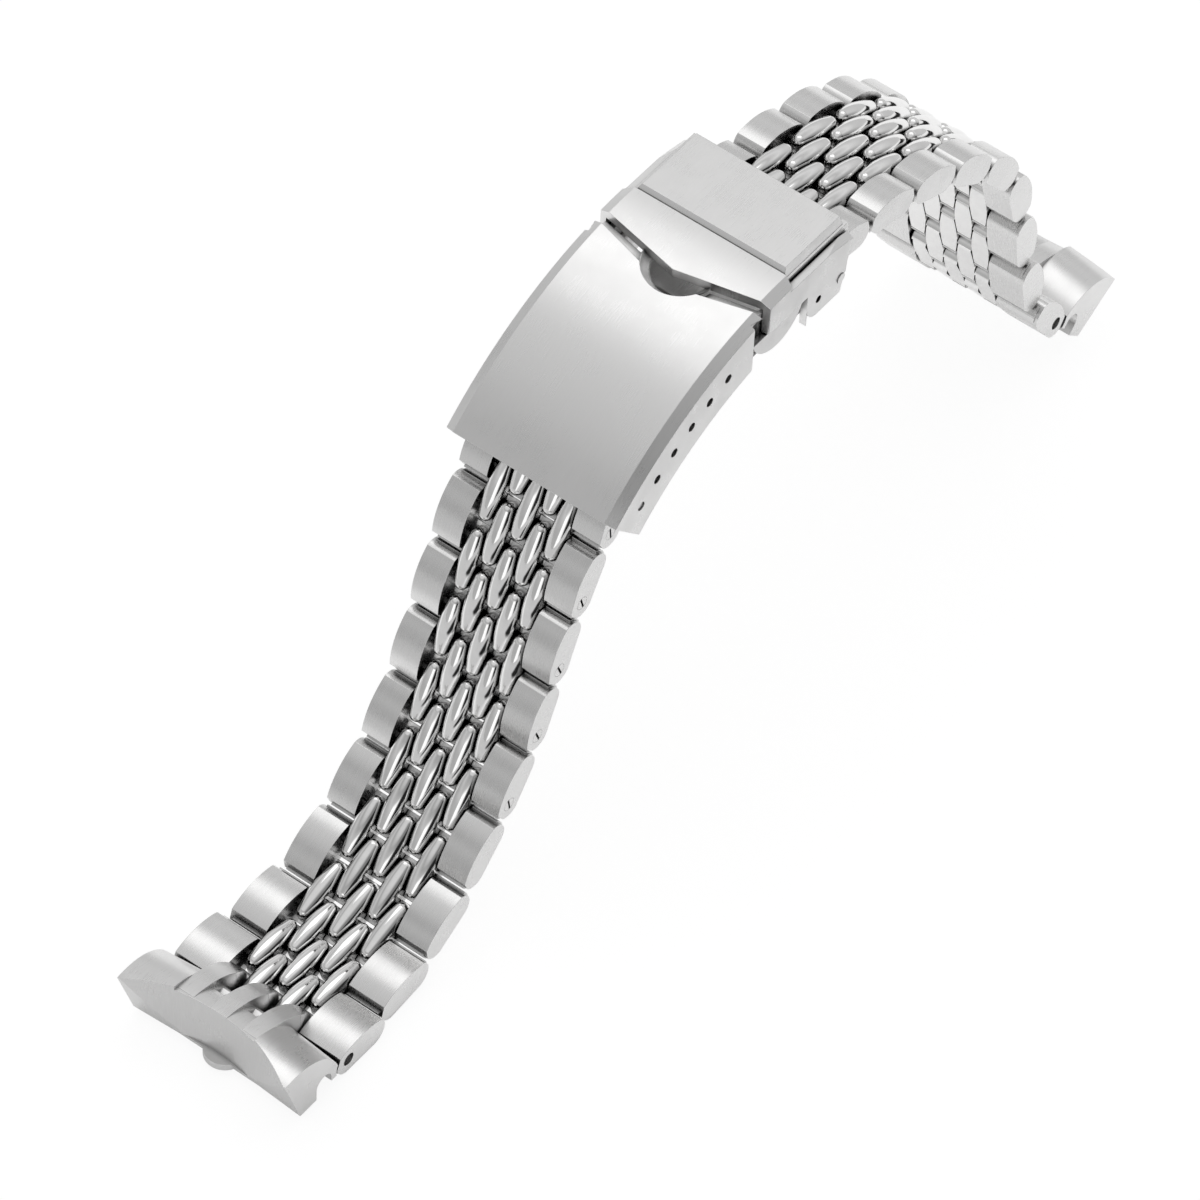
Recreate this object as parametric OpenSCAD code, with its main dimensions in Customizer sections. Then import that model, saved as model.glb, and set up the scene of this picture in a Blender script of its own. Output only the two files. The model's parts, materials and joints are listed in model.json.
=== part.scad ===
// Beads-of-rice watch bracelet with a folding safety clasp, arched on a table.
// Units are millimetres. X runs across the strap, Y along it and Z up.
// The strap stands on its two ends, and the origin is on the table under its middle.

/* [Strap] */
// Width of the strap beside the clasp
strap_w = 18; // [16.5:0.5:18]
// Width of the last row of side links, next to the end link
case_row_w = 21.8; // [19:0.2:24]
// Distance between the two pins of a link, the same for every row
pitch = 4.1; // [3.9:0.05:4.4]
// Distance from one bead column to the next
column_pitch = 2.12; // [2.1:0.02:2.3]
// Widest part of a bead
bead_w = 2.26; // [1.9:0.02:2.26]
// Radius of a bead's end about its pin
bead_end_r = 1.72; // [1.5:0.02:1.8]
// Height of the bead's round back above the pins
bead_axis_h = 0.6; // [0.3:0.05:0.7]
// Depth of a bead below the pins
bead_depth = 1.55; // [1.3:0.05:1.65]
// Radius of a side link's end about its pin
link_end_r = 1.75; // [1.6:0.05:1.85]
// Height of a side link's domed top above the pins
link_top_h = 1.95; // [1.8:0.05:2.1]
// Radius of a side link's domed top, along the strap
link_dome_r = 8; // [7:0.5:12]
// Side clearance between the beads and the side links
side_gap = 0.08; // [0.06:0.01:0.15]

/* [Pins] */
// Radius of the cross pins, screws and spring bars
pin_r = 0.5; // [0.4:0.05:0.6]
// Radial clearance of a pin in its bore
pin_gap = 0.03; // [0.02:0.01:0.06]
// Metal left between a blind pin and the side face
pin_cover = 0.9; // [0.6:0.1:1.5]
// Radius of a slotted screw head
head_r = 0.75; // [0.7:0.05:0.85]
// Length of a slotted screw head
head_l = 0.6; // [0.4:0.1:0.8]
// Width of the slot in a screw head
slot_w = 0.26; // [0.2:0.02:0.3]
// Depth of the slot in a screw head
slot_d = 0.3; // [0.2:0.05:0.35]
// How deep the end link's screws lie in their holes
last_screw_depth = 0.7; // [0.4:0.1:0.9]

/* [End links] */
// Lug width of the watch that the end links fill
lug_w = 22; // [20:0.5:24]
// Distance from the hinge pin to the tips beside the case, along the strap
tip_reach = 10.3; // [9.8:0.1:10.8]
// Distance from the hinge pin to the foot below the tips
foot_reach = 7.9; // [7.6:0.1:8.2]
// Depth of the end link's flat base below the hinge pin
base_drop = 1.3; // [1.2:0.05:1.5]
// Radius of the watch case that the end link is cut to
case_r = 21.7; // [20:0.5:24]
// How far the case cuts in at the middle, measured from the tips
case_bite = 2.8; // [2.4:0.1:3]
// Radius of the end link's top along the strap
saddle_r = 7.34; // [7:0.1:8]
// Slope of the end link's shoulders across the strap
shoulder_a = 9; // [7:0.5:11]
// Radius of the polished prongs' top
prong_r = 12; // [11.5:0.1:12.5]
// How far the steps between the prongs lie below them
step_drop = 0.4; // [0.3:0.05:0.5]
// Radius of the tunnel for the watch's spring bar
tunnel_r = 0.95; // [0.8:0.05:1]
// Distance from the hinge pin to the tunnel
tunnel_reach = 4.1; // [4:0.05:4.3]
// Height of the tunnel above the hinge pin
tunnel_h = 0.2; // [0.1:0.05:0.3]
// Depth of the spring-bar tool notch in each side
notch_d = 3.2; // [2.5:0.1:4]
// Radius of the spring-bar tool notch
notch_r = 1.2; // [1.1:0.05:1.25]

/* [Clasp] */
// Width of the cover and of the safety lock
clasp_w = 21.6; // [21.2:0.1:22.4]
// Radius of the cover's top along the strap
cover_r = 42.7; // [42.2:0.1:43]
// Radius at the lower edge of the cover's walls
wall_r = 36; // [35.8:0.1:36.1]
// Thickness of the cover's walls and top
cover_t = 0.9; // [0.8:0.05:1]
// Width of the bevel along the top edges
bevel_w = 1.2; // [0.8:0.1:1.5]
// Height of the bevel along the top edges
bevel_h = 0.7; // [0.5:0.1:0.9]
// Angle of the cover's front edge from the middle of the clasp
cover_front_a = 43; // [42:0.5:44]
// Distance of the cover's far edge from the middle of the clasp, at the sides
cover_back_y = 4.9; // [4.7:0.1:5.2]
// Depth of the V in the cover's far edge
cover_v = 2.8; // [2.4:0.1:3.2]
// Radius of the line of adjusting holes
hole_line_r = 39.2; // [39.1:0.05:39.3]
// Angle of the frontmost adjusting hole
hole_front_a = 38.6; // [38:0.1:39]
// Angle between adjusting holes
hole_step_a = 4.6; // [4.4:0.1:4.7]
// Number of adjusting holes on each side
hole_count = 6; // [4:1:6]

/* [Folding blades] */
// Radius of the lower blade's outside
lower_r = 35.5; // [35.4:0.05:35.6]
// Thickness of the lower blade
lower_t = 0.9; // [0.7:0.05:1]
// Width of the lower blade
lower_w = 14.6; // [13:0.2:15]
// Radius of the upper blade's outside
upper_r = 37; // [36.95:0.05:37.1]
// Thickness of the upper blade
upper_t = 0.8; // [0.6:0.05:0.85]
// Width of the upper blade
upper_w = 16; // [15:0.2:16.2]
// Radius of the blades' hinge barrels
barrel_r = 1.1; // [1:0.05:1.15]
// Angle of the hinge between the two blades
fold_a = 35; // [34:0.5:35.5]
// Radius of the hinge between the two blades
fold_r = 35.8; // [35.75:0.05:35.9]
// Angle of the hinge between the upper blade and the cover
cover_hinge_a = 12; // [11.5:0.5:12.5]
// Radius of the hinge between the upper blade and the cover
cover_hinge_r = 37.6; // [37.5:0.05:37.7]
// Half the width of the lower blade's barrel
knuckle_half = 3.5; // [3:0.25:4]
// Clearance between parts that turn past each other
turn_gap = 0.15; // [0.1:0.01:0.2]

/* [End plate and safety lock] */
// Width of the plate's flat top
plate_top_w = 18.2; // [17:0.2:18.4]
// Width at the foot of the plate's bevels
plate_foot_w = 19.4; // [19:0.1:19.5]
// Height of the plate's top above the clasp's centre
plate_top_z = 43.6; // [43.4:0.05:43.8]
// Thickness of the plate
plate_t = 1.2; // [1:0.1:1.3]
// Distance of the plate's back edge behind the middle of the clasp
plate_back_y = 10; // [9.8:0.1:10.4]
// Thickness of the end plate's cheeks
cheek_t = 0.7; // [0.6:0.05:0.75]
// Radius of the lock's top along the strap
lock_r = 43.2; // [43.1:0.05:43.4]
// Thickness of the lock's cross bar
lock_t = 1.1; // [0.9:0.05:1.2]
// Depth of the V in the lock's front edge
lock_v = 2.2; // [1.8:0.1:2.4]
// Distance of the lock's front corners before the middle of the clasp
lock_front_y = 3.8; // [3.7:0.1:3.9]
// Distance of the rivets behind the middle of the clasp
rivet_y = 8.6; // [8.5:0.1:8.7]
// Height of the rivets above the clasp's centre
rivet_z = 36.7; // [36.6:0.05:36.8]
// Radius of the seam between lock and plate, about the rivets
seam_r = 10.45; // [10.4:0.05:10.5]
// Radius of a rivet
rivet_r = 0.6; // [0.5:0.05:0.7]
// Radius of the push-buttons' round edge
button_r = 4.4; // [4.2:0.05:4.5]
// How far a push-button stands out of its cheek
button_out = 0.75; // [0.6:0.05:0.85]

/* [Lie of the strap] */
// Angle of the back strand's first pin from the middle of the clasp
back_pin_a = 15.2; // [15:0.1:15.6]
// Radius of the back strand's first pin
back_pin_r = 38.9; // [38.8:0.05:39]

/* [Hidden] */
$fn = 96;
eps = 0.01;
rows = 8;
// Slope of each link below the level, in degrees, from the clasp to the end link
front_slopes = [52, 56, 61, 65, 67, 67, 66, 60, 55, 51, 46, 40, 31, 18, 6, 0, -1, 0];
back_slopes = [7, 10, 13, 17, 22, 28, 34, 41, 49, 60, 72, 80, 80, 80, 77, 67, 54, 42];

// Half the span of the five bead columns, with clearance to the side links
zone = 2 * column_pitch + bead_w / 2 + side_gap;
bore_r = pin_r + pin_gap;
// The rice grain: a big arc along its side, and a small ball at each end that meets it smoothly
grain_half = pitch / 2 + sqrt(bead_end_r * bead_end_r - bead_axis_h * bead_axis_h);
grain_side_r = 15;
grain_side_c = grain_side_r - bead_w / 2;
grain_ball_r = (grain_side_r * grain_side_r - grain_side_c * grain_side_c - grain_half * grain_half)
    / (2 * (grain_side_r - grain_half));
grain_ball_y = grain_half - grain_ball_r;
grain_join_y = grain_ball_y * grain_side_r / (grain_side_r - grain_ball_r);
link_depth = link_end_r;
// The prongs run straight from here, with the width that the grain has there
prong_straight_y = 0.9;
prong_half = sqrt(pow(grain_side_r, 2) - pow(pitch / 2 - prong_straight_y, 2)) - grain_side_c;
last_row_room = bead_end_r + 0.4;
// The shoulders start beside the outer prongs, and their arc is centred here
mid_half = 2 * column_pitch + prong_half - 0.05;
shoulder_y = last_row_room - 0.27;
saddle_y = 8.85;
saddle_z = -0.4;

inner_half = clasp_w / 2 - cover_t;
cheek_half = inner_half - turn_gap + 0.05;
lock_arm_t = clasp_w / 2 - cheek_half - turn_gap;
button_y = 1.9;
button_z = 39.7;
button_top_z = 38.45;
fold_y = fold_r * sin(fold_a);
fold_z = fold_r * cos(fold_a);
cover_hinge_y = cover_hinge_r * sin(cover_hinge_a);
cover_hinge_z = cover_hinge_r * cos(cover_hinge_a);

// Pin places of a strand: [distance from the middle of the clasp, height over its centre]
function pins(start, slopes, i) = i == 0
    ? start
    : pins(start, slopes, i - 1) + pitch * [cos(slopes[i - 1]), -sin(slopes[i - 1])];
front_start = hole_line_r * [sin(hole_front_a), cos(hole_front_a)];
back_start = back_pin_r * [sin(back_pin_a), cos(back_pin_a)];
last = 2 * rows + 1;
front_pins = [for (i = [0:last]) pins(front_start, front_slopes, i)];
back_pins = [for (i = [0:last]) pins(back_start, back_slopes, i)];

// A point of an end link, turned and moved to where the end link lies
function on_end(pin, slope, p) =
    pin + [p[0] * cos(slope) + p[1] * sin(slope), p[1] * cos(slope) - p[0] * sin(slope)];
// The strap stands on its seventh row of side links in front and on the end link's tongue at the back
front_foot = on_end(front_pins[last - 3], front_slopes[last - 3], [pitch + 0.4, -link_depth]);
back_foot = on_end(back_pins[last], back_slopes[last], [foot_reach + 0.9, -base_drop]);
// The strap is turned a little, so that both feet are on the table
lie_a = atan2(back_foot[1] - front_foot[1], back_foot[0] + front_foot[0]);
tip_z = saddle_z + sqrt(pow(saddle_r, 2) - pow(tip_reach - saddle_y, 2));
tip_edge_z = tip_z / cos(shoulder_a) - (lug_w / 2 - mid_half) * tan(shoulder_a);
front_tip = on_end(front_pins[last], front_slopes[last], [tip_reach, tip_edge_z]);
back_tip = on_end(back_pins[last], back_slopes[last], [tip_reach, tip_edge_z]);
function lie_y(y, z) = y * cos(lie_a) + z * sin(lie_a);
function lie_z(y, z) = z * cos(lie_a) - y * sin(lie_a);
lie_mid = (lie_y(back_tip[0], back_tip[1]) + lie_y(-front_tip[0], front_tip[1])) / 2;
table_z = lie_z(back_foot[0], back_foot[1]);

function row_t(k) = max(0, (k - 4) / (rows - 4));
function row_w(k) = strap_w + (case_row_w - strap_w) * row_t(k) * row_t(k);

// Puts the clasp's own frame, whose X axis is the clasp's centre of curvature, on the table
module lay() {
    translate([0, -lie_mid, -table_z]) rotate([-lie_a, 0, 0]) children();
}

// Puts a link, whose near pin is the X axis and whose far pin is at +Y, at place i of a strand
module at_link(side, i) {
    flip = side == "front" ? 1 : 0;
    p = side == "front" ? front_pins[i] : back_pins[i];
    slope = side == "front" ? front_slopes[i] : back_slopes[i];
    lay() mirror([0, flip, 0]) translate([0, p[0], p[1]]) rotate([-slope, 0, 0]) children();
}

// A bar along X between two places
module bar(r, x0, x1) {
    translate([x0, 0, 0]) rotate([0, 90, 0]) cylinder(r = r, h = x1 - x0);
}

// A side view, drawn as [along the strap, height], made as thick as from x0 to x1
module across(x0, x1) {
    translate([x0, 0, 0]) rotate([90, 0, 90]) linear_extrude(x1 - x0) children();
}

// Half a rice grain's outline, from its long axis outwards
module grain_half_outline() {
    intersection() {
        translate([-grain_side_c, 0]) circle(r = grain_side_r, $fn = 360);
        translate([0, -grain_join_y]) square([bead_w, 2 * grain_join_y]);
    }
    for (m = [0, 1]) mirror([0, m]) intersection() {
        translate([0, grain_ball_y]) circle(r = grain_ball_r);
        translate([0, grain_join_y]) square([bead_w, 2 * grain_ball_r]);
    }
}

// Side view of a bead below its round back
module bead_side() {
    intersection() {
        union() {
            circle(r = bead_end_r + 0.02);
            translate([pitch, 0]) circle(r = bead_end_r + 0.02);
            translate([0, -bead_end_r]) square([pitch, 2 * bead_end_r]);
        }
        translate([-3, -bead_depth]) square([pitch + 6, bead_depth + bead_axis_h]);
    }
}

// One polished bead, with its near pin on the X axis
module bead(x) {
    color("gainsboro") translate([x, 0, 0]) difference() {
        union() {
            translate([0, pitch / 2, bead_axis_h]) rotate([-90, 0, 0]) rotate([0, 0, 180])
                rotate_extrude(angle = 180) grain_half_outline();
            intersection() {
                across(-bead_w, bead_w) bead_side();
                translate([0, pitch / 2, -bead_depth]) linear_extrude(bead_depth + bead_axis_h) {
                    grain_half_outline();
                    mirror([1, 0]) grain_half_outline();
                }
            }
        }
        bar(bore_r, -bead_w, bead_w);
        translate([0, pitch, 0]) bar(bore_r, -bead_w, bead_w);
    }
}

// Side view of a side link: round at the near end, domed, creased at the far end
module link_side() {
    crease = [pitch + 1.3, 1.22];
    intersection() {
        union() {
            circle(r = link_end_r);
            translate([pitch, 0]) circle(r = link_end_r + 0.05);
            translate([0, -link_depth]) square([pitch, link_depth + link_top_h]);
            polygon([[pitch, 0], [pitch + link_end_r, 0], crease, [pitch, link_top_h]]);
        }
        translate([pitch / 2, link_top_h - link_dome_r]) circle(r = link_dome_r, $fn = 200);
        translate([-3, -link_depth]) square([pitch + 6, 5]);
        polygon([
            [-3, -3], [pitch + link_end_r + 0.05, -3], [pitch + link_end_r + 0.05, 0],
            crease, [crease[0] - 0.47, 2.5], [-3, 2.5]
        ]);
    }
}

// The two side links of one row, with the bores for its two pins
// head_depth is how deep a screw's head lies under the right face; below 0 there is no screw
module side_links(w, head_depth) {
    half = w / 2;
    color("silver") for (m = [0, 1]) mirror([m, 0, 0]) difference() {
        across(zone, half) link_side();
        bar(bore_r, zone - 1, half - pin_cover);
        translate([0, pitch, 0]) bar(bore_r, zone - 1, half - pin_cover);
        if (m == 0 && head_depth >= 0) translate([0, pitch, 0]) {
            bar(bore_r, zone - 1, half - head_depth - head_l / 2);
            bar(head_r + pin_gap, half - head_depth - head_l, half + 1);
        }
    }
}

// A plain cross pin of one row
module plain_pin(w) {
    color("gray") bar(pin_r, -w / 2 + pin_cover + pin_gap, w / 2 - pin_cover - pin_gap);
}

// A screw whose slotted head lies in the right side link
module screw(w, head_depth) {
    top = w / 2 - head_depth;
    color("gray") difference() {
        union() {
            bar(pin_r, -w / 2 + pin_cover + pin_gap, top - head_l / 2);
            bar(head_r, top - head_l + pin_gap, top);
        }
        rotate([45, 0, 0]) translate([top - slot_d, -slot_w / 2, -2]) cube([1, slot_w, 4]);
    }
}

// Depth of the far screw's head under the right face of row k, or -1 for a plain pin
function head_at(side, k) = side == "back" ? (k == rows ? last_screw_depth : -1)
    : k <= 4 ? 0 : k == rows ? last_screw_depth : -1;

// Side links of row k with their pins; the near pin is plain
module side_link_row(side, k) {
    w = row_w(k);
    h = head_at(side, k);
    at_link(side, 2 * k) {
        side_links(w, h);
        plain_pin(w);
        translate([0, pitch, 0]) if (h < 0) plain_pin(w); else screw(w, h);
    }
}

// The two beads that stand between the side links of row k, in columns 2 and 4
module centre_beads(side, k) {
    at_link(side, 2 * k) for (c = [-1, 1]) bead(c * column_pitch);
}

// The three beads of the row between two rows of side links
module bead_row(side, k) {
    at_link(side, 2 * k - 1) for (c = [-2, 0, 2]) bead(c * column_pitch);
}

// The first link, held in the clasp by a spring bar that reaches into its walls
module clasp_link(side) {
    h = side == "front" ? 0 : -1;
    reach = side == "front" ? clasp_w / 2 - 0.15 : cheek_half - 0.1;
    at_link(side, 0) {
        color("silver") for (m = [0, 1]) mirror([m, 0, 0]) difference() {
            across(zone, strap_w / 2) link_side();
            bar(bore_r, zone - 1, strap_w / 2 + 1);
            translate([0, pitch, 0]) bar(bore_r, zone - 1, strap_w / 2 - pin_cover);
            if (m == 0 && h >= 0) translate([0, pitch, 0]) {
                bar(bore_r, zone - 1, strap_w / 2 - head_l / 2);
                bar(head_r + pin_gap, strap_w / 2 - head_l, strap_w / 2 + 1);
            }
        }
        for (c = [-1, 1]) bead(c * column_pitch);
        color("gray") bar(pin_r, -reach, reach);
        translate([0, pitch, 0]) if (h < 0) plain_pin(strap_w); else screw(strap_w, 0);
    }
}

// Side view of the end link where its shoulders meet the prongs, under an arc of radius r
module end_link_side(r, low) {
    foot = [foot_reach, -0.4];
    rise = [tip_reach, tip_z] - foot;
    intersection() {
        translate([saddle_y, saddle_z - low]) circle(r = r, $fn = 240);
        polygon([[shoulder_y, -base_drop - 3], [shoulder_y, 9], foot + 1.4 * rise, foot - 0.4 * rise]);
    }
}

// Side view of a prong: round about the hinge pin, rising in one arc to the case edge
module prong_side() {
    intersection() {
        union() {
            circle(r = bead_end_r);
            translate([0, -base_drop]) square([7.6, 9]);
            translate([-bead_end_r, 0]) square([4, 3]);
        }
        translate([8.6, -5.5]) circle(r = prong_r, $fn = 240);
        translate([-3, -base_drop]) square([14, 12]);
    }
}

// Plan of a prong: a rice grain's end that runs on with straight sides
module prong_plan() {
    intersection() {
        translate([0, pitch / 2]) {
            grain_half_outline();
            mirror([1, 0]) grain_half_outline();
        }
        translate([-2, -4]) square([4, 4 + prong_straight_y]);
    }
    translate([-prong_half + eps, prong_straight_y - 0.05]) square([2 * prong_half - 2 * eps, 12]);
}

// The body of the end link: two sloping shoulders, the steps between the prongs,
// room for the last row of links, and the notches for a spring-bar tool
module end_link_body() {
    difference() {
        union() {
            for (m = [0, 1]) mirror([m, 0, 0]) intersection() {
                translate([mid_half, 0, 0]) rotate([0, shoulder_a, 0])
                    across(-4, 12) end_link_side(saddle_r, 0);
                translate([mid_half, 0, -base_drop]) cube([lug_w / 2 - mid_half, 20, 20]);
            }
            intersection() {
                across(-mid_half, mid_half) end_link_side(saddle_r, step_drop);
                translate([-mid_half, 0, -base_drop]) cube([2 * mid_half, 20, 20]);
            }
        }
        bar(last_row_room, -lug_w, lug_w);
        for (c = [-1, 1]) translate([c * column_pitch - 0.6, 3.4, 4.2]) cube([1.2, 1.4, 3]);
        for (m = [0, 1]) mirror([m, 0, 0]) translate([lug_w / 2 - notch_d, 0, 0]) {
            translate([0, tunnel_reach, tunnel_h]) {
                bar(notch_r, 0, notch_d + 1);
                translate([0, -notch_r, -5]) cube([notch_d + 1, 2 * notch_r, 5]);
            }
            translate([0, 1, -5]) cube([lug_w, tunnel_reach - 1, 4.5]);
        }
    }
}

// The curved end link that fills the gap between the bracelet and the watch case
module end_link(side) {
    at_link(side, last) difference() {
        union() {
            color("silver") end_link_body();
            color("gainsboro") for (c = [-2, 0, 2]) translate([c * column_pitch, 0, 0]) intersection() {
                across(-2, 2) prong_side();
                translate([0, 0, -3]) linear_extrude(12) prong_plan();
            }
            color("silver") translate([0, foot_reach - 1.4, -base_drop]) cylinder(r = 2.3, h = 0.9);
        }
        translate([0, tip_reach - case_bite + case_r, -base_drop + 0.9])
            cylinder(r = case_r, h = 20, $fn = 360);
        bar(bore_r, -zone, zone);
        translate([0, tunnel_reach, tunnel_h]) bar(tunnel_r, -lug_w, lug_w);
    }
}

// Sweeps a section, drawn as [radius, x], from angle a0 to a1 about the clasp's centre
// Angles are counted from straight up towards the front
module sweep(a0, a1) {
    rotate([180, -90, 0]) rotate([0, 0, a0]) rotate_extrude(angle = a1 - a0, $fn = 720) children();
}

// Section of a bevelled channel, open below
module channel_section(top_r, low_r, half, side_t, top_t) {
    polygon([
        [low_r, -half], [top_r - bevel_h, -half], [top_r, -half + bevel_w], [top_r, half - bevel_w],
        [top_r - bevel_h, half], [low_r, half], [low_r, half - side_t], [top_r - top_t, half - side_t],
        [top_r - top_t, -half + side_t], [low_r, -half + side_t]
    ]);
}

// Plan of everything behind a V-shaped edge, whose sides are at y and whose tip lies v nearer the front
module behind_v(y, v) {
    side_y = y + v * 9.2 / 10.8;
    polygon([[-20, side_y], [-10.8, y], [0, y - v], [10.8, y], [20, side_y], [20, 30], [-20, 30]]);
}

// The cover, with its adjusting holes, V-shaped far edge, lower tail and finger scoop
module clasp_cover() {
    half = clasp_w / 2;
    tail_r = cover_r - cover_t;
    lay() {
        color("silver") difference() {
            union() {
                sweep(4.5, cover_front_a) channel_section(cover_r, wall_r, half, cover_t, cover_t);
                sweep(4.5, 13)
                    translate([tail_r - 0.8, -half + eps]) square([0.8 + eps, 2 * half - 2 * eps]);
                for (m = [0, 1]) mirror([m, 0, 0]) translate([0, -cover_hinge_y, cover_hinge_z])
                    bar(barrel_r, upper_w / 2 + turn_gap, half - cover_t / 2);
            }
            for (i = [0:hole_count - 1]) rotate([hole_front_a - i * hole_step_a, 0, 0])
                translate([0, 0, hole_line_r]) bar(bore_r, -half - 1, half + 1);
            translate([0, -cover_hinge_y, cover_hinge_z])
                bar(bore_r, -half + cover_t / 2, half - cover_t / 2);
            // Far edge of the top, far edge of the tail, and the scoop for a fingernail
            difference() {
                translate([0, 0, tail_r - 4]) linear_extrude(8) behind_v(-cover_back_y, cover_v);
                rotate([0, 90, 0]) cylinder(r = tail_r, h = 60, center = true, $fn = 720);
            }
            translate([0, 0, 30]) linear_extrude(20) behind_v(-lock_front_y - turn_gap, lock_v);
            translate([0, -4.2, 38]) cylinder(r = 4.4, h = 10);
            for (m = [0, 1]) mirror([m, 0, 0])
                translate([inner_half, -cover_back_y - 1.5, 30]) cube([9, 20, tail_r - 30]);
        }
    }
}

// The upper blade: two barrels at the fold, one long barrel in the cover
module upper_blade() {
    half = upper_w / 2;
    lay() color("darkgray") difference() {
        union() {
            sweep(cover_hinge_a, fold_a) translate([upper_r - upper_t, -half]) square([upper_t, 2 * half]);
            translate([0, -cover_hinge_y, cover_hinge_z]) bar(barrel_r, -half + 0.05, half - 0.05);
            for (m = [0, 1]) mirror([m, 0, 0]) translate([0, -fold_y, fold_z])
                bar(barrel_r, knuckle_half + turn_gap, lower_w / 2);
        }
        translate([0, -fold_y, fold_z]) {
            bar(barrel_r + turn_gap, -knuckle_half - turn_gap, knuckle_half + turn_gap);
            bar(bore_r, -half - 1, half + 1);
            for (m = [0, 1]) mirror([m, 0, 0]) bar(barrel_r + turn_gap, lower_w / 2, half + 1);
        }
        translate([0, -cover_hinge_y, cover_hinge_z]) bar(bore_r, -half - 1, half + 1);
    }
}

// The two pins that the blades turn on
module blade_pins() {
    lay() color("gray") {
        translate([0, -fold_y, fold_z]) bar(pin_r, -lower_w / 2, lower_w / 2);
        translate([0, -cover_hinge_y, cover_hinge_z]) bar(pin_r, -inner_half, inner_half);
    }
}

// The lower blade, which runs under the upper one from the fold to the end plate
module lower_blade() {
    half = lower_w / 2;
    lay() color("darkgray") difference() {
        union() {
            sweep(-13, fold_a) translate([lower_r - lower_t, -half]) square([lower_t, 2 * half]);
            translate([0, -fold_y, fold_z]) bar(barrel_r, -knuckle_half, knuckle_half);
        }
        translate([0, -fold_y, fold_z]) {
            bar(bore_r, -half - 1, half + 1);
            for (m = [0, 1]) mirror([m, 0, 0]) bar(barrel_r + turn_gap, knuckle_half, half + 1);
        }
    }
}

// Side view of a push-button, with room around it
module button_side(extra) {
    intersection() {
        translate([-button_y, button_z]) circle(r = button_r + extra);
        translate([-20, 30]) square([40, button_top_z - 30 + extra]);
    }
}

// The end plate: a bevelled top between the lock's arms, two cheeks and a floor on the lower blade
module end_plate() {
    lay() color("silver") difference() {
        union() {
            translate([0, plate_back_y, 0]) rotate([90, 0, 0]) linear_extrude(plate_back_y + 3) polygon([
                [-plate_foot_w / 2, plate_top_z - plate_t], [plate_foot_w / 2, plate_top_z - plate_t],
                [plate_top_w / 2, plate_top_z], [-plate_top_w / 2, plate_top_z]
            ]);
            for (m = [0, 1]) mirror([m, 0, 0]) across(cheek_half - cheek_t, cheek_half) difference() {
                polygon([
                    [-3.6, 37], [-3.6, 40.6], [-0.4, 41.7], [0.3, plate_top_z - plate_t + 0.3],
                    [plate_back_y + 0.6, plate_top_z - plate_t + 0.3],
                    [plate_back_y + 1.3, 38], [plate_back_y + 1, 35], [8, 34], [-button_y, 34.9]
                ]);
                circle(r = lower_r, $fn = 720);
                button_side(0.08);
            }
            sweep(-12.4, -4.6) translate([lower_r, -cheek_half + 0.1]) square([0.8, 2 * cheek_half - 0.2]);
            sweep(-4.7, 6) translate([lower_r, -lower_w / 2]) square([0.8, lower_w]);
        }
        translate([0, rivet_y, rivet_z]) {
            difference() {
                bar(30, -20, 20);
                bar(seam_r - turn_gap / 2, -20, 20);
                translate([-20, -10 - rivet_y, 30 - rivet_z])
                    cube([40, 60, plate_top_z - plate_t - 30 - 0.3]);
            }
            bar(rivet_r + pin_gap, cheek_half - cheek_t - 1, cheek_half + 1);
            bar(rivet_r + pin_gap, -cheek_half - 1, -cheek_half + cheek_t + 1);
        }
        translate([0, back_start[0], back_start[1]]) bar(bore_r, -cheek_half - 1, cheek_half + 1);
    }
}

// The safety lock: a cross bar with a V-shaped front edge, two arms, and its two rivets
module safety_lock() {
    half = clasp_w / 2;
    lay() {
        color("silver") difference() {
            sweep(-14, 11) channel_section(lock_r, 34.4, half, lock_arm_t, lock_t);
            // Front edge, the swing clear of the plate, and the lower edge of the arms
            difference() {
                translate([-20, -30, 30]) cube([40, 60, 20]);
                translate([0, 0, 20]) linear_extrude(40) behind_v(-lock_front_y, lock_v);
            }
            translate([0, rivet_y, rivet_z])
                bar(seam_r + turn_gap / 2, -half + lock_arm_t - eps, half - lock_arm_t + eps);
            translate([0, rivet_y, rivet_z]) intersection() {
                bar(seam_r + turn_gap / 2, -half - 1, half + 1);
                translate([-20, -20, plate_top_z - plate_t - 0.3 - rivet_z]) cube([40, 60, 10]);
            }
            translate([-half - 1, -lock_front_y - 9, 30])
                cube([2 * half + 2, lock_front_y + 9 + 2.8, button_top_z + turn_gap - 30]);
            across(-half - 1, half + 1) difference() {
                translate([2.9, 30]) square([9, 12]);
                translate([4.7, 36.4]) circle(r = 1.8);
                translate([8.6, 36.4]) circle(r = 1.8);
                translate([4.7, 34.6]) square([3.9, 8]);
                translate([2.9, 36.4]) square([7.5, 8]);
            }
            translate([0, 4.8, 36.7]) bar(0.45, -half - 1, half + 1);
            translate([0, rivet_y, rivet_z]) bar(rivet_r + pin_gap, -half - 1, half + 1);
        }
        color("gray") for (m = [0, 1]) mirror([m, 0, 0]) translate([0, rivet_y, rivet_z])
            bar(rivet_r, cheek_half - cheek_t, half + 0.1);
    }
}

// A push-button: a tab that stands out of the cheek and a wider flange that stays inside it
module push_button(m) {
    inside = cheek_half - cheek_t - 0.05;
    lay() color("dimgray") mirror([m, 0, 0]) {
        across(inside - 0.2, cheek_half + button_out) button_side(0);
        across(inside - 0.55, inside) button_side(0.4);
    }
}

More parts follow.
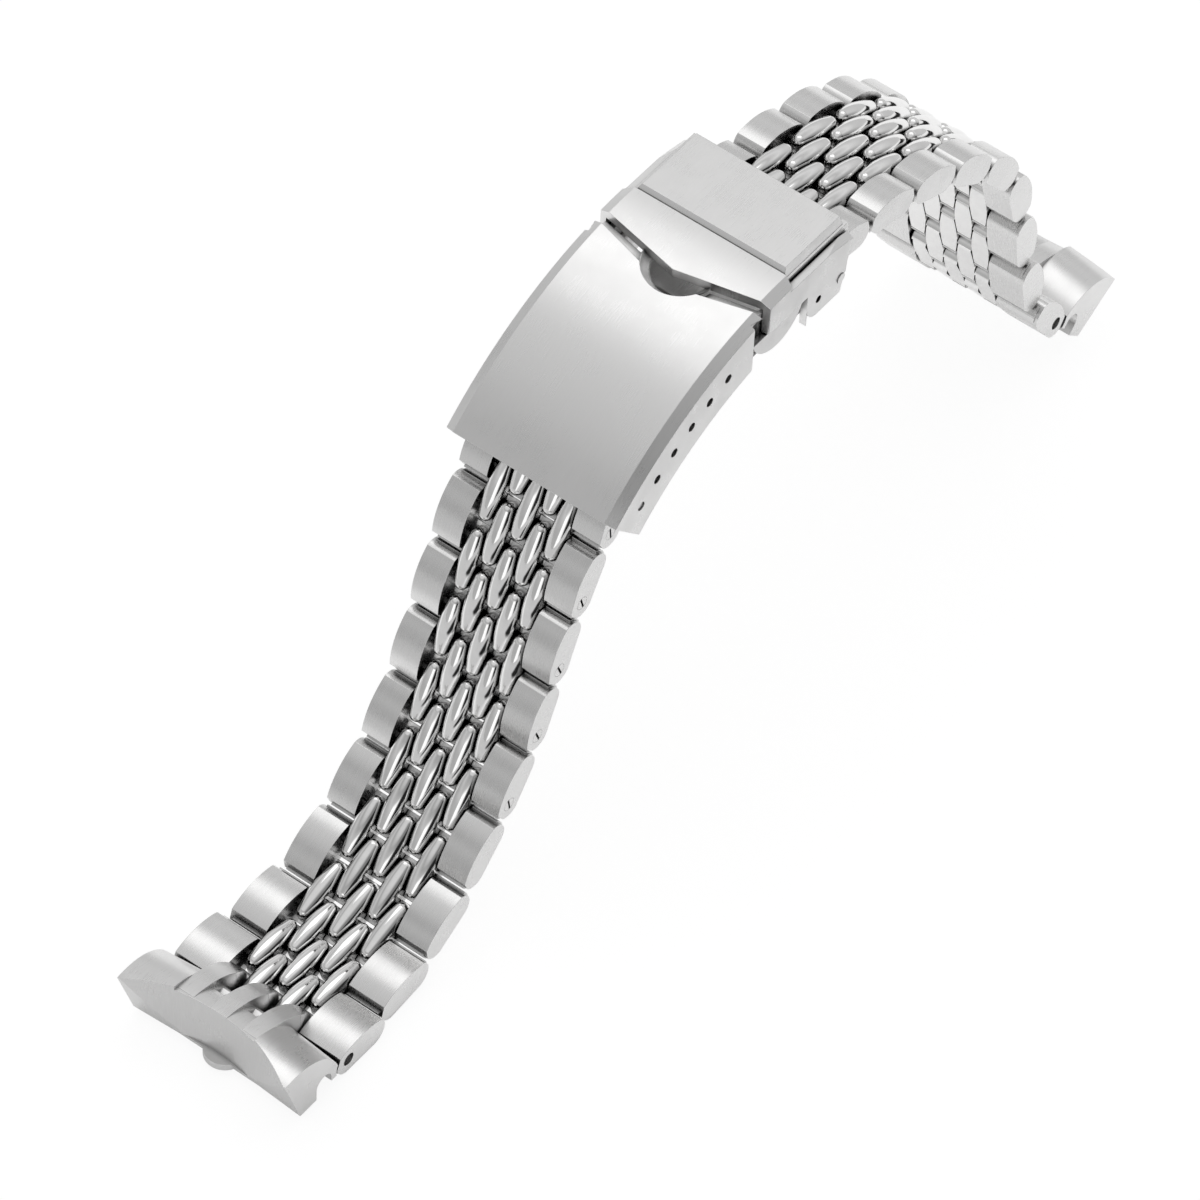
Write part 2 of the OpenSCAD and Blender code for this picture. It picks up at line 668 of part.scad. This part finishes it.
for (s = ["front", "back"]) {
    clasp_link(s);
    for (k = [1:rows]) {
        side_link_row(s, k);
        centre_beads(s, k);
        bead_row(s, k);
    }
    end_link(s);
}
clasp_cover();
upper_blade();
blade_pins();
lower_blade();
end_plate();
safety_lock();
push_button(1);  // left_button
push_button(0);  // right_button
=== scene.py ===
import json
import math

import bmesh
import bpy
from mathutils import Matrix, Vector


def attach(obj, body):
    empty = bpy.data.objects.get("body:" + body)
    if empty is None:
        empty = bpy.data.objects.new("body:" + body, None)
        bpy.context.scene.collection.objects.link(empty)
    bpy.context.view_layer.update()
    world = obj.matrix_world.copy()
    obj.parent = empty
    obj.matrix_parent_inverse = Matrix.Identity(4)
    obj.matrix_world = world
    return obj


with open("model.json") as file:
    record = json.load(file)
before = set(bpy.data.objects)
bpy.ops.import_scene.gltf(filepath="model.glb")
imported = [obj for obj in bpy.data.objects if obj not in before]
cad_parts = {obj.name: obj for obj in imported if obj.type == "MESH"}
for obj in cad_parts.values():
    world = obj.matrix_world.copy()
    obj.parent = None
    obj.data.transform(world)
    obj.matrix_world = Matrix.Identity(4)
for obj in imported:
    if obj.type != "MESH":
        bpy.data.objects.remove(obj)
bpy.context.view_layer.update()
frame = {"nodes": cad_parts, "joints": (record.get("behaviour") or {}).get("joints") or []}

scene = bpy.context.scene
scene.view_settings.view_transform = "Standard"

BLACK = (0.0, 0.0, 0.0, 1.0)
WHITE = (1.0, 1.0, 1.0, 1.0)


# Small helpers for node trees

def fresh_tree(owner, kind):
    """The nodes and links of an emptied tree, and its new output node."""
    owner.use_nodes = True
    nodes = owner.node_tree.nodes
    nodes.clear()
    return nodes, owner.node_tree.links, nodes.new(kind)


def stretched(nodes, links, scale):
    """Object coordinates, stretched so that a texture's grain runs along its smallest scale."""
    coords = nodes.new("ShaderNodeTexCoord")
    mapping = nodes.new("ShaderNodeMapping")
    mapping.inputs["Scale"].default_value = scale
    links.new(coords.outputs["Object"], mapping.inputs["Vector"])
    return mapping.outputs["Vector"]


def noise(nodes, links, scale, detail, rough=0.6):
    """Noise whose scale is given along each axis."""
    tex = nodes.new("ShaderNodeTexNoise")
    tex.inputs["Scale"].default_value = 1.0
    tex.inputs["Detail"].default_value = detail
    tex.inputs["Roughness"].default_value = rough
    links.new(stretched(nodes, links, scale), tex.inputs["Vector"])
    return tex.outputs["Fac"]


def remap(nodes, links, value, lo, hi, to_lo, to_hi, kind="LINEAR"):
    """The value's range lo to hi becomes to_lo to to_hi, and no further."""
    node = nodes.new("ShaderNodeMapRange")
    node.interpolation_type = kind
    node.inputs["From Min"].default_value = lo
    node.inputs["From Max"].default_value = hi
    node.inputs["To Min"].default_value = to_lo
    node.inputs["To Max"].default_value = to_hi
    links.new(value, node.inputs["Value"])
    return node.outputs["Result"]


def smooth(nodes, links, value, off, on):
    """0 at off and 1 at on, with a soft step between them; either may be the higher."""
    ends = (off, on, 0.0, 1.0) if off < on else (on, off, 1.0, 0.0)
    return remap(nodes, links, value, *ends, "SMOOTHSTEP")


def feed(links, socket, value):
    """Links a node's output to a socket, or sets a plain number or colour on it."""
    if isinstance(value, (int, float, tuple)):
        socket.default_value = value
    else:
        links.new(value, socket)


def maths(nodes, links, kind, a, b):
    """a and b put together by one kind of sum; each is a number or a node's output."""
    node = nodes.new("ShaderNodeMath")
    node.operation = kind
    feed(links, node.inputs[0], a)
    feed(links, node.inputs[1], b)
    return node.outputs[0]


def times(nodes, links, *values):
    """The product of two or more numbers or outputs."""
    product = values[0]
    for value in values[1:]:
        product = maths(nodes, links, "MULTIPLY", product, value)
    return product


def mixed(nodes, links, factor, a, b):
    """Colour a where the factor is 0, colour b where it is 1."""
    node = nodes.new("ShaderNodeMix")
    node.data_type = "RGBA"
    links.new(factor, node.inputs[0])
    feed(links, node.inputs[6], a)
    feed(links, node.inputs[7], b)
    return node.outputs[2]


def joined(nodes, links, factor, a, b):
    """Shader a where the factor is 0, shader b where it is 1."""
    node = nodes.new("ShaderNodeMixShader")
    for socket, value in zip(node.inputs, (factor, a.outputs[0], b.outputs[0])):
        links.new(value, socket)
    return node


def grey(value, warm):
    """A grey, a little warmer than neutral."""
    return (value * (1 + warm), value, value * (1 - warm), 1.0)


# Steels

WARM = 0.004              # how far a steel's red lies above its grey, and its blue below
# colour of rounded edges: lighter as wear, and lighter still as a painted highlight
WEAR_AND_HIGHLIGHT_COLOUR = grey(0.92, 0.003)
WORN_ROUGH = 0.1          # how much smoother the worn edges are
LINE_TONE = 0.14          # how far the brush lines lie from a steel's tone, as a share of it
LINE_ROUGH = 0.035        # and from its roughness
LINE_HEIGHT = 0.00002     # metres
CLOUD_ROUGH = 0.03        # slow change of a brushed face's roughness
CLOUD_GRAIN = (260, 260, 260)
HAZE_TONE = 0.03          # the same for the haze on polished steel
HAZE_ROUGH = (0.7, 1.5)   # lowest and highest, as a share of its roughness
HAZE_GRAIN = (900, 900, 900)
RIPPLE_GRAIN = (420, 160, 160)
RIPPLE_HEIGHT = 0.00004
BRUSHED_CREVICE = (0.0013, 0.04)    # how far a crevice's shade reaches, and its least light
POLISHED_CREVICE = (0.0011, 0.03)


def edge_normal(nodes, radius):
    """A softly rounded edge, as tumbling and polishing leave it."""
    bevel = nodes.new("ShaderNodeBevel")
    bevel.samples = 4
    bevel.inputs["Radius"].default_value = radius
    return bevel.outputs["Normal"]


def edge_mask(nodes, links, normal):
    """1 on a rounded edge and 0 on a plain face."""
    geo = nodes.new("ShaderNodeNewGeometry")
    dot = nodes.new("ShaderNodeVectorMath")
    dot.operation = "DOT_PRODUCT"
    links.new(normal, dot.inputs[0])
    links.new(geo.outputs["Normal"], dot.inputs[1])
    return remap(nodes, links, dot.outputs["Value"], 0.995, 0.85, 0.0, 1.0)


def shaded(nodes, links, colour, reach, least, dark=0.12, clear=0.72):
    """Darkens a colour in crevices, where the light between the links is lost."""
    shade = nodes.new("ShaderNodeAmbientOcclusion")
    shade.samples = 8
    shade.inputs["Distance"].default_value = reach
    depth = remap(nodes, links, shade.outputs["AO"], dark, clear, least, 1.0)
    return mixed(nodes, links, depth, BLACK, colour)


def toned(nodes, links, factor, tone, spread):
    """A steel's colour, from darker to lighter than its tone by the spread."""
    dark, light = grey(tone * (1 - spread), WARM), grey(min(tone * (1 + spread), 1.0), WARM)
    return mixed(nodes, links, factor, dark, light)


def metal(name):
    """A new metal material: its nodes, links, shader and itself."""
    mat = bpy.data.materials.new(name)
    nodes, links, out = fresh_tree(mat, "ShaderNodeOutputMaterial")
    shader = nodes.new("ShaderNodeBsdfPrincipled")
    shader.inputs["Metallic"].default_value = 1.0
    links.new(shader.outputs[0], out.inputs[0])
    return nodes, links, shader, mat


def bumped(nodes, links, shader, height, normal, strength, distance):
    """Gives the shader a relief on top of the rounded edges' normal."""
    bump = nodes.new("ShaderNodeBump")
    bump.inputs["Strength"].default_value = strength
    bump.inputs["Distance"].default_value = distance
    links.new(height, bump.inputs["Height"])
    links.new(normal, bump.inputs["Normal"])
    links.new(bump.outputs["Normal"], shader.inputs["Normal"])


def brushed(name, tone, rough, grain, strength, edge=0.00007, depth=0.25, shade=(0.12, 0.72)):
    """Steel brushed in one direction: grain is the scale of the texture along each axis."""
    nodes, links, shader, mat = metal(name)
    fine = noise(nodes, links, grain, 5.0, 0.7)
    broad = noise(nodes, links, CLOUD_GRAIN, 3.0)
    rounded = edge_normal(nodes, edge)
    wear_and_edge_highlight = edge_mask(nodes, links, rounded)
    line = remap(nodes, links, fine, 0.3, 0.7, -1.0, 1.0)
    tint = remap(nodes, links, times(nodes, links, line, depth), -1.0, 1.0, 0.0, 1.0)
    colour = toned(nodes, links, tint, tone, LINE_TONE)
    # rounded edges painted lighter: partly wear, partly a painted highlight
    colour = mixed(nodes, links, wear_and_edge_highlight, colour, WEAR_AND_HIGHLIGHT_COLOUR)
    colour = shaded(nodes, links, colour, *BRUSHED_CREVICE, *shade)
    links.new(colour, shader.inputs["Base Color"])
    gloss = remap(nodes, links, broad, 0.3, 0.7, rough - CLOUD_ROUGH, rough + CLOUD_ROUGH)
    gloss = maths(nodes, links, "ADD", gloss, times(nodes, links, line, LINE_ROUGH))
    gloss = maths(nodes, links, "SUBTRACT", gloss, times(nodes, links, wear_and_edge_highlight, WORN_ROUGH))
    links.new(gloss, shader.inputs["Roughness"])
    bumped(nodes, links, shader, fine, rounded, strength, LINE_HEIGHT)
    return mat


def polished(name, tone, rough, edge=0.0001, ripple=0.05):
    """Mirror-polished steel, with the faint haze and ripple that a buffing wheel leaves."""
    nodes, links, shader, mat = metal(name)
    haze = noise(nodes, links, HAZE_GRAIN, 4.0)
    wave = noise(nodes, links, RIPPLE_GRAIN, 2.0)
    rounded = edge_normal(nodes, edge)
    tint = remap(nodes, links, haze, 0.35, 0.65, 0.0, 1.0)
    colour = toned(nodes, links, tint, tone, HAZE_TONE)
    colour = shaded(nodes, links, colour, *POLISHED_CREVICE)
    links.new(colour, shader.inputs["Base Color"])
    gloss = remap(nodes, links, haze, 0.3, 0.7, *(rough * share for share in HAZE_ROUGH))
    links.new(gloss, shader.inputs["Roughness"])
    bumped(nodes, links, shader, wave, rounded, ripple, RIPPLE_HEIGHT)
    return mat


link_steel = brushed("link_brushed_steel", 0.74, 0.27, (9000, 350, 350), 0.35)
clasp_steel = brushed("clasp_brushed_steel", 0.78, 0.3, (14000, 400, 400), 0.12,
                      edge=0.00009, depth=0.14, shade=(0.3, 0.8))
blade_steel = brushed("blade_satin_steel", 0.6, 0.3, (7000, 400, 400), 0.3)
end_steel = brushed("end_link_satin_steel", 0.76, 0.3, (8000, 500, 500), 0.3)
bead_steel = polished("bead_polished_steel", 0.84, 0.05)
button_steel = polished("button_polished_steel", 0.6, 0.18)
pin_steel = polished("pin_turned_steel", 0.62, 0.16)

# A node takes the first steel whose word is in its name
STEELS = (("bead", bead_steel), ("clasp_link", link_steel), ("side_links", link_steel),
          ("end_link", end_steel), ("button", button_steel), ("blade_pins", pin_steel),
          ("blade", blade_steel), ("", clasp_steel))
for name, node in frame["nodes"].items():
    steel = next(steel for word, steel in STEELS if word in name)
    node.data.materials.clear()
    node.data.materials.append(steel)

BEAD_ZONE = 0.00545      # the centre beads of a clasp link lie within this of the middle
for side in ("front", "back"):
    mesh = frame["nodes"][side + "_clasp_link"].data
    mesh.materials.append(bead_steel)
    for face in mesh.polygons:
        if abs(face.center.x) < BEAD_ZONE:
            face.material_index = len(mesh.materials) - 1


# Pieces that the solids lack

def add_piece(name, verts, faces, material, body):
    """A mesh that rides on a body, with its faces turned outwards."""
    mesh = bpy.data.meshes.new(name)
    mesh.from_pydata(verts, [], faces)
    mesh.materials.append(material)
    bm = bmesh.new()
    bm.from_mesh(mesh)
    bmesh.ops.recalc_face_normals(bm, faces=bm.faces)
    bm.to_mesh(mesh)
    bm.free()
    piece = bpy.data.objects.new(name, mesh)
    scene.collection.objects.link(piece)
    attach(piece, body)


# The beads and side links are wider and rounder below than their backs show, and close the gaps

COLUMN_PITCH = 0.00212
END_R = 0.00195                  # outside of a rounded end, about its pin
END_THICK = 0.0006
END_LOW = math.radians(52)       # a rounded end goes down to here, below its link's own line
BEAD_HIGH = math.radians(4)      # and starts here
LINK_HIGH = math.radians(-12)
BEAD_HALF = 0.00094
LINK_INSIDE = 0.00552            # inner face of a side link, from the middle
LINK_INSET = 0.0004              # from its outer face
ROWS = 8
EVEN_ROWS = 4                    # rows as wide as the strap at the clasp
STRAP_HALF = 0.009
CASE_ROW_HALF = 0.0109
STEPS = 10

pins = {j["child"]: Vector(j["pos_m"]) for j in frame["joints"] if j["type"] == "hinge"}


def row_half(k):
    """Half the width of a row of side links; the last four rows widen towards the case."""
    t = max(0, k - EVEN_ROWS) / (ROWS - EVEN_ROWS)
    return STRAP_HALF + (CASE_ROW_HALF - STRAP_HALF) * t * t


def rounded_end(centre, along, up, spans, high):
    """Vertices and faces of a curved plate about a pin, once for each span (x0, x1)."""
    verts, faces = [], []
    for x0, x1 in spans:
        first = len(verts)
        for i in range(STEPS + 1):
            angle = high + (END_LOW - high) * i / STEPS
            ray = along * math.cos(angle) - up * math.sin(angle)
            for radius in (END_R, END_R - END_THICK):
                spot = centre + ray * radius
                verts += [(x0, spot.y, spot.z), (x1, spot.y, spot.z)]
        for i in range(STEPS):
            a, b = first + 4 * i, first + 4 * (i + 1)
            faces += [(a, a + 1, b + 1, b), (a + 2, b + 2, b + 3, a + 3)]
            faces += [(a, b, b + 2, a + 2), (a + 1, a + 3, b + 3, b + 1)]
        a = first + 4 * STEPS
        faces += [(first, first + 2, first + 3, first + 1), (a, a + 1, a + 3, a + 2)]
    return verts, faces


def lower_ends(name, body, ends, spans, high, material):
    """One piece with the rounded ends of a body: ends is a list of (pin, along, up)."""
    verts, faces = [], []
    for centre, along, up in ends:
        more, sides = rounded_end(centre, along, up, spans, high)
        faces += [tuple(v + len(verts) for v in face) for face in sides]
        verts += more
    add_piece(name, verts, faces, material, body)


for side, turn in (("front", -1), ("back", 1)):
    chain = [side + "_clasp_link"]
    for k in range(1, ROWS + 1):
        chain += ["%s_beads_%d" % (side, k), "%s_row_%d" % (side, k)]
    chain.append(side + "_end_link")
    last = len(chain) - 1
    for i, body in enumerate(chain):
        # A body reaches from its own pin to the next body's; the end link keeps the line before it
        start = pins[chain[i - 1]] if i == last else pins[body]
        stop = pins[body] if i == last else pins[chain[i + 1]]
        along = (stop - start).normalized()
        up = Vector((0, -along.z, along.y)) * turn
        ends = []
        if i > 0:
            ends.append((pins[body], -along, up))
        if i < last:
            ends.append((stop, along, up))
        # Two columns of beads in the clasp link, side-link rows and end link, and three between
        columns = (-2, 0, 2) if i % 2 else (-1, 1)
        middles = [c * COLUMN_PITCH for c in columns]
        spans = [(x - BEAD_HALF, x + BEAD_HALF) for x in middles]
        lower_ends(body + "_bead_ends", body, ends, spans, BEAD_HIGH, bead_steel)
        if i % 2 == 0:
            outer = row_half(i // 2) - LINK_INSET
            spans = [(-outer, -LINK_INSIDE), (LINK_INSIDE, outer)]
            lower_ends(body + "_link_ends", body, ends, spans, LINK_HIGH, link_steel)


# The sloping face inside the cover's finger scoop

COVER_R = 0.0427                       # outside of the cover's arch
CLASP_LIE = math.radians(0.4835)       # how the clasp's own frame lies in the scene
CLASP_PLACE = (0.008058, 0.015331)
SCOOP_R = 0.00438
SCOOP_Y = -0.0042
SCOOP_FIRST = math.radians(182)
SCOOP_SWEEP = math.radians(176)
SCOOP_STEPS = 28
# Corners of its section: distance from the scoop's middle, and drop below the cover's back
SCOOP_SECTION = ((SCOOP_R, 0.0002), (0.0034, 0.0012), (0.0033, 0.0013), (SCOOP_R, 0.0004))


def scoop_face():
    """A ring sector that slopes in from the scoop's round edge, drawn in the clasp's own frame."""
    verts, faces = [], []
    for i in range(SCOOP_STEPS + 1):
        angle = SCOOP_FIRST + SCOOP_SWEEP * i / SCOOP_STEPS
        rim_y = SCOOP_Y + SCOOP_R * math.sin(angle)
        for radius, drop in SCOOP_SECTION:
            y = SCOOP_Y + radius * math.sin(angle)
            z = math.sqrt(COVER_R ** 2 - rim_y ** 2) - drop
            lain_y = y * math.cos(CLASP_LIE) + z * math.sin(CLASP_LIE)
            lain_z = z * math.cos(CLASP_LIE) - y * math.sin(CLASP_LIE)
            verts.append((radius * math.cos(angle), lain_y + CLASP_PLACE[0],
                          lain_z + CLASP_PLACE[1]))
    for i in range(SCOOP_STEPS):
        a, b = 4 * i, 4 * i + 4
        faces += [(a + k, a + (k + 1) % 4, b + (k + 1) % 4, b + k) for k in range(4)]
    faces += [(0, 1, 2, 3), tuple(4 * SCOOP_STEPS + k for k in (3, 2, 1, 0))]
    add_piece("cover_scoop_face", verts, faces, clasp_steel, "cover")


scoop_face()


# Camera, with the photograph's direction and framing

RIGHT = Vector((0.7912, 0.6108, 0.0308))
FORWARD = Vector((-0.3713, 0.5198, -0.7693))
PLACE = Vector((0.2724, -0.3887, 0.5794))
cam_data = bpy.data.cameras.new("camera")
cam_data.sensor_fit = "HORIZONTAL"
cam_data.sensor_width = 36.0
cam_data.lens = 210.0
cam_data.clip_start = 0.05
cam_data.clip_end = 20.0
camera = bpy.data.objects.new("camera", cam_data)
scene.collection.objects.link(camera)
back = -FORWARD.normalized()
right = (RIGHT - RIGHT.dot(back) * back).normalized()
up = back.cross(right)
turn = Matrix((right, up, back)).transposed().to_4x4()
camera.matrix_world = Matrix.Translation(PLACE) @ turn
scene.camera = camera


# Floor: pale paper, which the camera sees nearly white; the metal sees it with a painted dark
# patch and a painted glow, which are there only in reflections

FLOOR_HALF = 3.0
FLOOR_DROP = 0.0001      # keeps the floor off the lowest faces
PAPER = (0.9, 0.9, 0.9, 1)
# painted dark reflection: a dark patch on the floor that only glossy rays see
DARK_REFLECTION_COLOUR = (0.03, 0.03, 0.03, 1)
WHITE_LEVEL = 1.12
WHITE_SHARE = 0.8        # the rest is paper, which keeps the shadow
# painted glow: the floor emits this only in the metal's reflections
REFLECTION_GLOW_LEVEL = 0.34        # of the paper in reflections
# Soft edges on the floor, in metres: where the painted dark reflection or the painted glow starts,
# and where it is full
DARK_REFLECTION_LEFT = (0.045, 0.06)
DARK_REFLECTION_RIGHT = (0.16, 0.12)
DARK_REFLECTION_FRONT = (-0.17, -0.12)
REFLECTION_GLOW_FRONT = (-0.09, -0.05)

floor_mesh = bpy.data.meshes.new("floor")
corners = [(x * FLOOR_HALF, y * FLOOR_HALF, 0) for x, y in ((-1, -1), (1, -1), (1, 1), (-1, 1))]
floor_mesh.from_pydata(corners, [], [(0, 1, 2, 3)])
floor = bpy.data.objects.new("floor", floor_mesh)
scene.collection.objects.link(floor)
floor.location.z = -FLOOR_DROP
floor_mat = bpy.data.materials.new("pale_floor")
nodes, links, out = fresh_tree(floor_mat, "ShaderNodeOutputMaterial")
path = nodes.new("ShaderNodeLightPath")
place = nodes.new("ShaderNodeNewGeometry")
spot = nodes.new("ShaderNodeSeparateXYZ")
links.new(place.outputs["Position"], spot.inputs[0])
floor_x, floor_y = spot.outputs["X"], spot.outputs["Y"]

paper = nodes.new("ShaderNodeBsdfDiffuse")
paper.inputs["Color"].default_value = PAPER
white = nodes.new("ShaderNodeEmission")
white.inputs["Color"].default_value = WHITE
white.inputs["Strength"].default_value = WHITE_LEVEL
share = times(nodes, links, path.outputs["Is Camera Ray"], WHITE_SHARE)
seen = joined(nodes, links, share, paper, white)

# where the floor shows its painted dark patch in reflections
dark_reflection_mask = times(nodes, links, smooth(nodes, links, floor_x, *DARK_REFLECTION_LEFT),
             smooth(nodes, links, floor_x, *DARK_REFLECTION_RIGHT),
             smooth(nodes, links, floor_y, *DARK_REFLECTION_FRONT))
paper_with_painted_dark = nodes.new("ShaderNodeBsdfDiffuse")
links.new(mixed(nodes, links, dark_reflection_mask, WHITE, DARK_REFLECTION_COLOUR), paper_with_painted_dark.inputs["Color"])
# a painted glow on the floor, seen only in reflections
painted_glow = nodes.new("ShaderNodeEmission")
level = times(nodes, links, maths(nodes, links, "SUBTRACT", 1.0, dark_reflection_mask),
              smooth(nodes, links, floor_y, *REFLECTION_GLOW_FRONT), REFLECTION_GLOW_LEVEL)
links.new(level, painted_glow.inputs["Strength"])
painted_reflection = nodes.new("ShaderNodeAddShader")
links.new(paper_with_painted_dark.outputs[0], painted_reflection.inputs[0])
links.new(painted_glow.outputs[0], painted_reflection.inputs[1])
# glossy rays see the floor with its painted dark patch and painted glow
links.new(joined(nodes, links, path.outputs["Is Glossy Ray"], seen, painted_reflection).outputs[0], out.inputs[0])
floor_mesh.materials.append(floor_mat)


# The studio: bright overhead and behind, with a dark side to the right and a strip light before it

# Height of a direction (0 level, 1 straight up) and its brightness; lower ones are as at 0
STUDIO_LEVELS = ((0.0, 0.6), (0.14, 0.56), (0.3, 0.62), (0.45, 0.76), (0.55, 0.66),
                 (0.66, 0.5), (0.78, 0.78), (0.9, 0.9), (1.0, 0.9))
BEHIND_GAIN = 0.2
RIGHT_LOSS = 0.46
DARK_LOSS = 0.93
# Soft edges in the direction's X, Y and Z: where each part starts, and where it is full
BEHIND_Y = (-0.1, 0.5)
RIGHT_X = (0.3, 0.7)
DARK_X = (0.66, 0.76)
DARK_Z = (0.6, 0.4)
STRIP_LEFT = (0.12, 0.2)
STRIP_RIGHT = (0.66, 0.6)
STRIP_Y = (-0.3, -0.45)
STRIP_Z = (0.55, 0.4)

world = bpy.data.worlds.new("studio")
scene.world = world
nodes, links, out = fresh_tree(world, "ShaderNodeOutputWorld")
coords = nodes.new("ShaderNodeTexCoord")
way = nodes.new("ShaderNodeSeparateXYZ")
links.new(coords.outputs["Generated"], way.inputs[0])
way_x, way_y, way_z = way.outputs["X"], way.outputs["Y"], way.outputs["Z"]


def less(level, where, share):
    """The level, lower by a share of itself where the mask is 1."""
    kept = maths(nodes, links, "SUBTRACT", 1.0, times(nodes, links, where, share))
    return times(nodes, links, level, kept)


ramp = nodes.new("ShaderNodeValToRGB")
elements = ramp.color_ramp.elements
elements[0].position, elements[1].position = STUDIO_LEVELS[0][0], STUDIO_LEVELS[-1][0]
for position, value in STUDIO_LEVELS[1:-1]:
    elements.new(position)
for element, (position, value) in zip(elements, STUDIO_LEVELS):
    element.color = (value, value, value, 1)
links.new(way_z, ramp.inputs[0])
behind = times(nodes, links, smooth(nodes, links, way_y, *BEHIND_Y), BEHIND_GAIN)
level = maths(nodes, links, "ADD", ramp.outputs[0], behind)
level = less(level, smooth(nodes, links, way_x, *RIGHT_X), RIGHT_LOSS)
dark = times(nodes, links, smooth(nodes, links, way_x, *DARK_X),
             smooth(nodes, links, way_z, *DARK_Z))
level = less(level, dark, DARK_LOSS)
strip = times(nodes, links, smooth(nodes, links, way_x, *STRIP_LEFT),
              smooth(nodes, links, way_x, *STRIP_RIGHT), smooth(nodes, links, way_y, *STRIP_Y),
              smooth(nodes, links, way_z, *STRIP_Z))
level = maths(nodes, links, "ADD", level, strip)
studio = nodes.new("ShaderNodeBackground")
links.new(level, studio.inputs["Strength"])
backdrop = nodes.new("ShaderNodeBackground")
backdrop.inputs["Color"].default_value = WHITE
path = nodes.new("ShaderNodeLightPath")
view = joined(nodes, links, path.outputs["Is Camera Ray"], studio, backdrop)
links.new(view.outputs[0], out.inputs[0])


# The key lamp: an area lamp above and behind, which faces the bracelet

KEY_PLACE = Vector((-0.2, 0.3, 0.9))
KEY_AIM = Vector((0, 0, 0.03))
KEY_SIZE = (0.7, 0.5)
KEY_POWER = 0.7
key_data = bpy.data.lights.new("key_top", "AREA")
key_data.shape = "RECTANGLE"
key_data.size, key_data.size_y = KEY_SIZE
key_data.energy = KEY_POWER
key = bpy.data.objects.new("key_top", key_data)
scene.collection.objects.link(key)
key.location = KEY_PLACE
key.rotation_euler = (KEY_AIM - KEY_PLACE).to_track_quat("-Z", "Y").to_euler()
